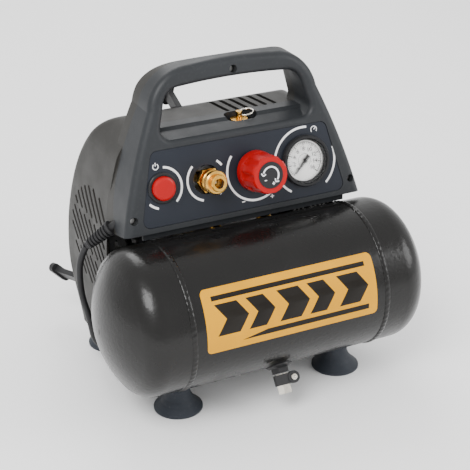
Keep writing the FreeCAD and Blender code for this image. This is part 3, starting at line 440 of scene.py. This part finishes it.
# %% The ribbed sleeve
SLEEVE_BORE, SLEEVE_ROOT, RIB_COUNT, RIB_PITCH = 3.4, 7.5, 7, 3.9
TAPER_PER_RIB, GROOVE_DEPTH = 0.33, 2.0
exit_way = Vector((-18, 12, -18)).normalized()
sleeve_root = Vector((-137, 66, 187.5)) - exit_way * 4
sleeve = [(SLEEVE_BORE, -6), (4.5, -6), (4.5, 3), (8.2, 3), (8.4, 5.2), (7.6, 6.2)]
for index in range(RIB_COUNT):
    outer = SLEEVE_ROOT - TAPER_PER_RIB * index
    low = 7.2 + RIB_PITCH * index
    groove = outer - GROOVE_DEPTH
    sleeve += [(groove, low - 0.3), (groove, low + 0.9), (outer, low + 1.3),
               (outer, low + 3.0), (outer - 0.4, low + 3.4)]
sleeve += [(4.6, 35.4), (4.4, 37.2), (SLEEVE_BORE, 37.4)]
sleeve_bm = lathe(sleeve, frame_along(tank_point(sleeve_root), exit_way), 48)
piece("lead_sleeve", sleeve_bm, lead_rubber, stands_for=["strain_relief"])

# %% [markdown]
# The strap that holds the coil is a loop pulled tight round its section. It
# starts as a circle, is flattened on four sides by clamping its points, and is
# then pulled out into a band and given a thickness.

# %% The coil's strap
STRAP_THICKNESS, STRAP_WIDTH = 0.6, 4.6
strap_bm = bmesh.new()
bmesh.ops.create_circle(strap_bm, segments=64, radius=1.0, cap_ends=False)
for vert in strap_bm.verts:
    vert.co.x = max(-11.4, min(11.4, vert.co.x * 13.8)) * MM
    vert.co.y = max(-6.6, min(7.6, vert.co.y * 8.8)) * MM
pulled = bmesh.ops.extrude_edge_only(strap_bm, edges=strap_bm.edges)
rim = [e for e in pulled["geom"] if isinstance(e, bmesh.types.BMVert)]
bmesh.ops.translate(strap_bm, vec=(0, 0, STRAP_WIDTH * MM), verts=rim)
bmesh.ops.recalc_face_normals(strap_bm, faces=strap_bm.faces)
bmesh.ops.solidify(strap_bm, geom=strap_bm.faces, thickness=-STRAP_THICKNESS * MM)
round_coil = Matrix.Rotation(math.radians(45), 4, "Z")
to_turns = Matrix.Translation((39.6 * MM, STRAP_WIDTH / 2 * MM, 7.3 * MM))
stand_up = Matrix.Rotation(math.radians(90), 4, "X")
coil_place = Matrix.Translation(tank_point((*coil_middle, 0)))
strap_place = coil_place @ round_coil @ to_turns @ stand_up
bmesh.ops.transform(strap_bm, matrix=strap_place, verts=strap_bm.verts)
piece("coil_strap", strap_bm, hook_black, stands_for=["coil_tie"])

# %% [markdown]
# ## The safety valve's spring
# A coil spring is a small circle spun round an axis while it climbs, which is
# a spin with a step upwards. On the valve, pulling the ring lifts the stem's
# collar and shortens the spring against the cap above it, by up to the two
# millimetres that the stem may travel; here the spring is built at rest only.

# %% A coil spring at rest
WIRE, SPRING_MEAN, SPRING_PITCH, SPRING_RISE = 0.55, 4.3, 4.4, 24.2
spring_steps = 160
spring_turns = SPRING_RISE / SPRING_PITCH
spring_bm = bmesh.new()
ring = bmesh.ops.create_circle(spring_bm, segments=12, radius=WIRE * MM, cap_ends=False)
stand = Matrix.Translation((SPRING_MEAN * MM, 0, 0)) @ stand_up
bmesh.ops.transform(spring_bm, matrix=stand, verts=ring["verts"])
climb = (0, 0, SPRING_RISE * MM / spring_steps)
bmesh.ops.spin(spring_bm, geom=spring_bm.verts[:] + spring_bm.edges[:], cent=(0, 0, 0),
               axis=(0, 0, 1), angle=spring_turns * math.tau, dvec=climb, steps=spring_steps)
bmesh.ops.holes_fill(spring_bm, edges=[e for e in spring_bm.edges if e.is_boundary], sides=0)
bmesh.ops.recalc_face_normals(spring_bm, faces=spring_bm.faces)
spring_foot = tank_point((12.5, 73.5, 252.1))
bmesh.ops.translate(spring_bm, vec=spring_foot, verts=spring_bm.verts)
spring = piece("valve_spring", spring_bm, zinc, stands_for=["safety_valve_spring"],
               smooth=60)
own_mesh(spring)

# %% [markdown]
# ## Weld beads
# The two dished ends are welded to the barrel, and the weld shows as a low
# ridge of overlapping ripples. A bump in the paint could draw them, but the
# outline would stay smooth. So a small arc is spun round the tank's axis in
# many steps, and then each point is lifted by a wave that runs along it.

# %% Two rippled weld beads
SEAM_X, BEAD_HALF_WIDTH, BEAD_HEIGHT, BEAD_ROOT, BEAD_STEPS = 108.8, 2.9, 1.1, 76.6, 300
RIPPLES, RIPPLE_HEIGHT, RIPPLE_SWEEP, RIPPLE_START = 75, 0.22, 400, 77.2
bead_bm = bmesh.new()
for side in (-1, 1):
    seam = side * SEAM_X
    arch = [(TANK_RADIUS + BEAD_HEIGHT * math.cos(math.radians(a)),
             seam + BEAD_HALF_WIDTH * math.sin(math.radians(a))) for a in range(-90, 91, 20)]
    profile = [(BEAD_ROOT, seam - BEAD_HALF_WIDTH)] + arch + [(BEAD_ROOT, seam + BEAD_HALF_WIDTH)]
    ridge = lathe(profile, frame_along(tank_point((0, 0, TANK_AXIS_Z)), (1, 0, 0)), BEAD_STEPS)
    for vert in ridge.verts:
        arm = vert.co - tank_point((vert.co.x / MM, 0, TANK_AXIS_Z))
        if arm.length > RIPPLE_START * MM:
            wave = math.sin(RIPPLES * math.atan2(arm.z, arm.y) + RIPPLE_SWEEP * vert.co.x)
            vert.co += arm.normalized() * RIPPLE_HEIGHT * MM * wave
    join_into(bead_bm, ridge, Matrix.Identity(4))
piece("weld_beads", bead_bm, tank_black, stands_for=["tank_weld_beads"], smooth=60)

# %% [markdown]
# ## Printed marks
# Ink is modelled as a film a few hundredths of a millimetre thick, so it
# stays crisp at any distance and in any export. On the flat panel a mark is
# an edge spun through part of a circle. Arcs group each control, and their
# gaps point at the little signs beside them.

# %% The panel's frame, and helpers for arcs and bars of ink
FACE_FOOT_Y, FACE_FOOT_Z, FACE_SLOPE = 27.2, 191.0, 0.2293
CONTROLS_Z = 234.0
BUTTON_X, OUTLET_X, REGULATOR_X, GAUGE_X = -90.5, -41.5, 12.5, 72.0
controls_y = FACE_FOOT_Y + FACE_SLOPE * (CONTROLS_Z - FACE_FOOT_Z)
panel_lean = math.atan(FACE_SLOPE)
panel_out = Vector((0, -math.cos(panel_lean), math.sin(panel_lean)))
print("the panel leans back by", round(math.degrees(panel_lean), 2), "degrees")


def on_panel(x, out=0.0):
    """A frame at a control, with Z out of the panel, that stands proud by `out`."""
    middle = Vector((x, controls_y, CONTROLS_Z))
    return frame_along(tank_point(middle + panel_out * out), panel_out)


def arc_film(target, place, radius, width, start, stop, centre=(0, 0), thick=0.08):
    bm = bmesh.new()
    ends = [bm.verts.new((r * MM, 0, 0)) for r in (radius - width / 2, radius + width / 2)]
    edge = bm.edges.new(ends)
    bmesh.ops.spin(bm, geom=ends + [edge], cent=(0, 0, 0), axis=(0, 0, 1),
                   angle=math.radians(stop - start), steps=max(6, int((stop - start) / 5)))
    bmesh.ops.solidify(bm, geom=bm.faces[:], thickness=thick * MM)
    turn = Matrix.Rotation(math.radians(start), 4, "Z")
    join_into(target, bm, place @ Matrix.Translation((centre[0] * MM, centre[1] * MM, 0)) @ turn)


def bar_film(target, place, x0, y0, x1, y1, width, thick=0.08):
    bm = bmesh.new()
    length = math.hypot(x1 - x0, y1 - y0)
    spot = Matrix.Translation(((x0 + x1) / 2 * MM, (y0 + y1) / 2 * MM, 0))
    spot = spot @ Matrix.Rotation(math.atan2(y1 - y0, x1 - x0), 4, "Z")
    spot = spot @ Matrix.Diagonal((length * MM, width * MM, thick * MM, 1))
    bmesh.ops.create_cube(bm, size=1.0, matrix=spot)
    join_into(target, bm, place)


# %% [markdown]
# Each control has a broken ring round it. A dictionary holds the ring's radius
# and where its arcs start and stop, in degrees, so that one short loop draws
# them all. The signs are a power ring, a minus and a plus, and a small dial.

# %% Marks on the control panel
PANEL_SKIN, ARC_WIDTH = -0.56, 2.3
panel_marks = bmesh.new()
groups = {
    BUTTON_X: (21.0, [(-50, 82), (222, 252)]),
    OUTLET_X: (21.5, [(132, 254), (34, 54), (-54, -24)]),
    REGULATOR_X: (31.0, [(142, 306)]),
    GAUGE_X: (35.5, [(82, 168), (214, 238), (-50, 16)]),
}
for x, (radius, spans) in groups.items():
    for start, stop in spans:
        arc_film(panel_marks, on_panel(x, PANEL_SKIN), radius, ARC_WIDTH, start, stop)
by_button = on_panel(BUTTON_X, PANEL_SKIN)
arc_film(panel_marks, by_button, 2.9, 0.9, 125, 415, (-5.0, 22.5))
bar_film(panel_marks, by_button, -5.0, 23.0, -5.0, 26.6, 0.9)
by_knob = on_panel(REGULATOR_X, PANEL_SKIN)
bar_film(panel_marks, by_knob, -17.4, -30.5, -13.8, -30.5, 1.0)
bar_film(panel_marks, by_knob, 15.6, -30.5, 19.8, -30.5, 1.0)
bar_film(panel_marks, by_knob, 17.7, -32.6, 17.7, -28.4, 1.0)
by_gauge = on_panel(GAUGE_X, PANEL_SKIN)
arc_film(panel_marks, by_gauge, 3.4, 0.9, -40, 220, (13.5, 31.0))
bar_film(panel_marks, by_gauge, 13.5, 31.0, 15.4, 32.8, 0.9)
piece("panel_marks", panel_marks, print_white)

# %% [markdown]
# The cap turns with the knob, so its marks ride on the regulator's body. They
# are a bent arrow with a head at each end, and a minus and a plus.

# %% Marks on the regulator's cap
cap_marks = bmesh.new()
CAP_SKIN, ARROW_RADIUS = 36.94, 8.6
on_cap = on_panel(REGULATOR_X, CAP_SKIN)
arc_film(cap_marks, on_cap, ARROW_RADIUS, 1.7, -38, 158)
for angle, way in ((-44, -1), (164, 1)):
    tip = math.radians(angle + way * 14)
    root = math.radians(angle - way * 2)
    for reach in (6.0, 11.2):
        bar_film(cap_marks, on_cap, ARROW_RADIUS * math.cos(tip), ARROW_RADIUS * math.sin(tip),
                 reach * math.cos(root), reach * math.sin(root), 1.3)
bar_film(cap_marks, on_cap, -7.6, -4.4, -5.0, -4.4, 1.0)
bar_film(cap_marks, on_cap, 0.6, -8.6, 3.8, -8.6, 1.0)
bar_film(cap_marks, on_cap, 2.2, -10.2, 2.2, -7.0, 1.0)
piece("cap_marks", cap_marks, print_white, body="regulator")

# %% [markdown]
# The gauge's card has a scale from nought to sixteen over three quarters of
# a turn. The figures are text objects, made into meshes before they are
# placed, so that the finished piece is one plain mesh.

# %% Scale and figures on the gauge
dial_marks = bmesh.new()
CARD_SKIN, CARD_INK, SCALE_RADIUS, FIGURE_RADIUS, FIGURE_SIZE = -1.77, 0.05, 19.6, 12.4, 6.0
SCALE_START, SCALE_SWEEP, TICKS = 225, 270, 40
scale_end = SCALE_START - SCALE_SWEEP
on_card = on_panel(GAUGE_X, CARD_SKIN)
arc_film(dial_marks, on_card, SCALE_RADIUS, 0.5, scale_end, SCALE_START, thick=CARD_INK)
for index in range(TICKS + 1):
    turn = math.radians(SCALE_START - SCALE_SWEEP * index / TICKS)
    inner = 16.0 if index % 5 == 0 else 17.6
    bar_film(dial_marks, on_card, inner * math.cos(turn), inner * math.sin(turn),
             SCALE_RADIUS * math.cos(turn), SCALE_RADIUS * math.sin(turn),
             0.9 if index % 5 == 0 else 0.4, CARD_INK)
arc_film(dial_marks, on_card, 7.2, 0.4, scale_end, SCALE_START, thick=CARD_INK)
figures = ["0", "2", "4", "6", "8", "10", "12", "14", "16"]
for index, figure in enumerate(figures):
    curve = bpy.data.curves.new("figure", "FONT")
    curve.body = figure
    curve.size = FIGURE_SIZE * MM
    curve.offset = 0.12 * MM
    curve.align_x, curve.align_y = "CENTER", "CENTER"
    curve.extrude = 0.02 * MM
    writer = bpy.data.objects.new("figure", curve)
    bpy.context.scene.collection.objects.link(writer)
    bpy.context.view_layer.update()
    shape = bpy.data.meshes.new_from_object(writer)
    bpy.data.objects.remove(writer)
    turn = math.radians(SCALE_START - SCALE_SWEEP * index / (len(figures) - 1))
    small = bmesh.new()
    small.from_mesh(shape)
    bpy.data.meshes.remove(shape)
    reach = FIGURE_RADIUS * MM
    spot = Matrix.Translation((reach * math.cos(turn), reach * math.sin(turn), 0))
    join_into(dial_marks, small, on_card @ spot)
piece("dial_marks", dial_marks, print_black)

# %% [markdown]
# ## The label's print
# The foil label is wrapped round the barrel, so its print is drawn flat and
# then bent. A Shrinkwrap modifier could press it on, but it would shift the
# straight edges. So each shape is cut across by planes a few millimetres
# apart, and every point is moved from the flat sheet onto the cylinder. The
# row of heavy chevrons is only decoration.

# %% Draw flat, then wrap on the barrel
LABEL_LOW = math.radians(-6.0)
PRINT_RADIUS = 77.27
PRINT_THICKNESS = 0.05
BAR_END, CHEVRON_START, CHEVRON_PITCH, CHEVRON_POINT = 86, -84.5, 34.0, 11.0
WIDE_CHEVRON, NARROW_CHEVRON = 24.0, 19.0
CHEVRON_LOW, CHEVRON_HIGH = 17.5, 49.0
chevron_middle = (CHEVRON_LOW + CHEVRON_HIGH) / 2


def flat_shape(bm, outline):
    bm.faces.new([bm.verts.new((x, s, 0)) for x, s in outline])


label_print = bmesh.new()
flat_shape(label_print, [(-BAR_END, 53), (BAR_END, 53), (BAR_END, 57.8), (-BAR_END, 57.8)])
flat_shape(label_print, [(-58, 7.5), (BAR_END, 7.5), (BAR_END, 13), (-30, 13)])
for index in range(5):
    x = CHEVRON_START + CHEVRON_PITCH * index
    edge = x + (WIDE_CHEVRON if index % 2 == 0 else NARROW_CHEVRON)
    tip, notch = (edge + CHEVRON_POINT, chevron_middle), (x + CHEVRON_POINT, chevron_middle)
    flat_shape(label_print, [(x, CHEVRON_LOW), (edge, CHEVRON_LOW), tip,
                             (edge, CHEVRON_HIGH), (x, CHEVRON_HIGH), notch])
for cut in range(8, 58, 3):
    everything = label_print.verts[:] + label_print.edges[:] + label_print.faces[:]
    bmesh.ops.bisect_plane(label_print, geom=everything, plane_co=(0, cut, 0), plane_no=(0, 1, 0))
for vert in label_print.verts:
    turn = LABEL_LOW + vert.co.y / PRINT_RADIUS
    down, up = PRINT_RADIUS * math.cos(turn), PRINT_RADIUS * math.sin(turn)
    vert.co = tank_point((vert.co.x, -down, TANK_AXIS_Z + up))
bmesh.ops.solidify(label_print, geom=label_print.faces[:], thickness=PRINT_THICKNESS * MM)
bmesh.ops.recalc_face_normals(label_print, faces=label_print.faces)
piece("label_print", label_print, label_ink)

# %% [markdown]
# ## Small metal details
# The socket of the air outlet has a dark seal and a valve pin deep inside,
# and the drain's lever turns on a bright screw with a round socket.

# %% Seal, pin and screw
seal = [(5.19, 25.5), (5.0, 26.0), (5.0, 27.6), (5.19, 28.0), (5.19, 25.5)]
piece("outlet_seal", lathe(seal, on_panel(OUTLET_X), 48), lead_rubber)
pin = [(0, 12.0), (4.9, 12.0), (4.9, 13.5), (2.2, 14.2), (2.2, 19.0), (1.6, 20.0), (0, 20.2)]
piece("outlet_pin", lathe(pin, on_panel(OUTLET_X), 40), zinc)
DRAIN_TILT = math.radians(35)
drain_down = Vector((0, -math.sin(DRAIN_TILT), -math.cos(DRAIN_TILT)))
drain_front = Vector((0, -math.cos(DRAIN_TILT), math.sin(DRAIN_TILT)))
drain_root = Vector((0, 0, TANK_AXIS_Z)) + drain_down * TANK_RADIUS
screw_seat = drain_root + drain_down * 15.5 + drain_front * 12.4 + Vector((8, 0, 0))
screw = [(0, 0.2), (1.3, 0.2), (1.3, 1.5), (2.9, 1.5), (3.3, 1.1), (3.4, -0.3), (0, -0.3)]
screw_bm = lathe(screw, frame_along(tank_point(screw_seat), drain_front), 36)
piece("lever_screw", screw_bm, nickel, body="drain_lever")

# %% [markdown]
# ## Floor and light
# A pale floor that meets a pale background without a line, one broad soft
# light above and to the left, a weaker one from the right, and an even sky.

# %% Floor and soft studio light
floor_bm = bmesh.new()
bmesh.ops.create_grid(floor_bm, x_segments=1, y_segments=1, size=6.0)
floor_mesh = bpy.data.meshes.new("floor")
floor_bm.to_mesh(floor_mesh)
floor_bm.free()
floor = bpy.data.objects.new("floor", floor_mesh)
bpy.context.scene.collection.objects.link(floor)
floor.location.z = -0.0002
floor_paper, _, floor_shader, _ = new_finish("floor_paper", Roughness=0.9)
floor_shader.inputs["Base Color"].default_value = (0.95, 0.95, 0.95, 1)
floor_mesh.materials.append(floor_paper)
world = bpy.data.worlds.new("studio")
bpy.context.scene.world = world
world.use_nodes = True
world.node_tree.nodes["Background"].inputs["Color"].default_value = (1, 1, 1, 1)
world.node_tree.nodes["Background"].inputs["Strength"].default_value = 1.25
for name, place, size, power in (
    ("key", (-1.1, -1.0, 1.7), 1.0, 44.0),
    ("fill", (1.6, -1.2, 1.0), 1.0, 20.0),
    ("back", (0.3, 1.6, 1.8), 1.3, 26.0),
):
    lamp = bpy.data.lights.new(name, "AREA")
    lamp.size = size
    lamp.energy = power
    holder = bpy.data.objects.new(name, lamp)
    holder.location = place
    holder.rotation_euler = (Vector((0, 0, 0.15)) - Vector(place)).to_track_quat("-Z", "Y").to_euler()
    bpy.context.scene.collection.objects.link(holder)
print("studio lit")
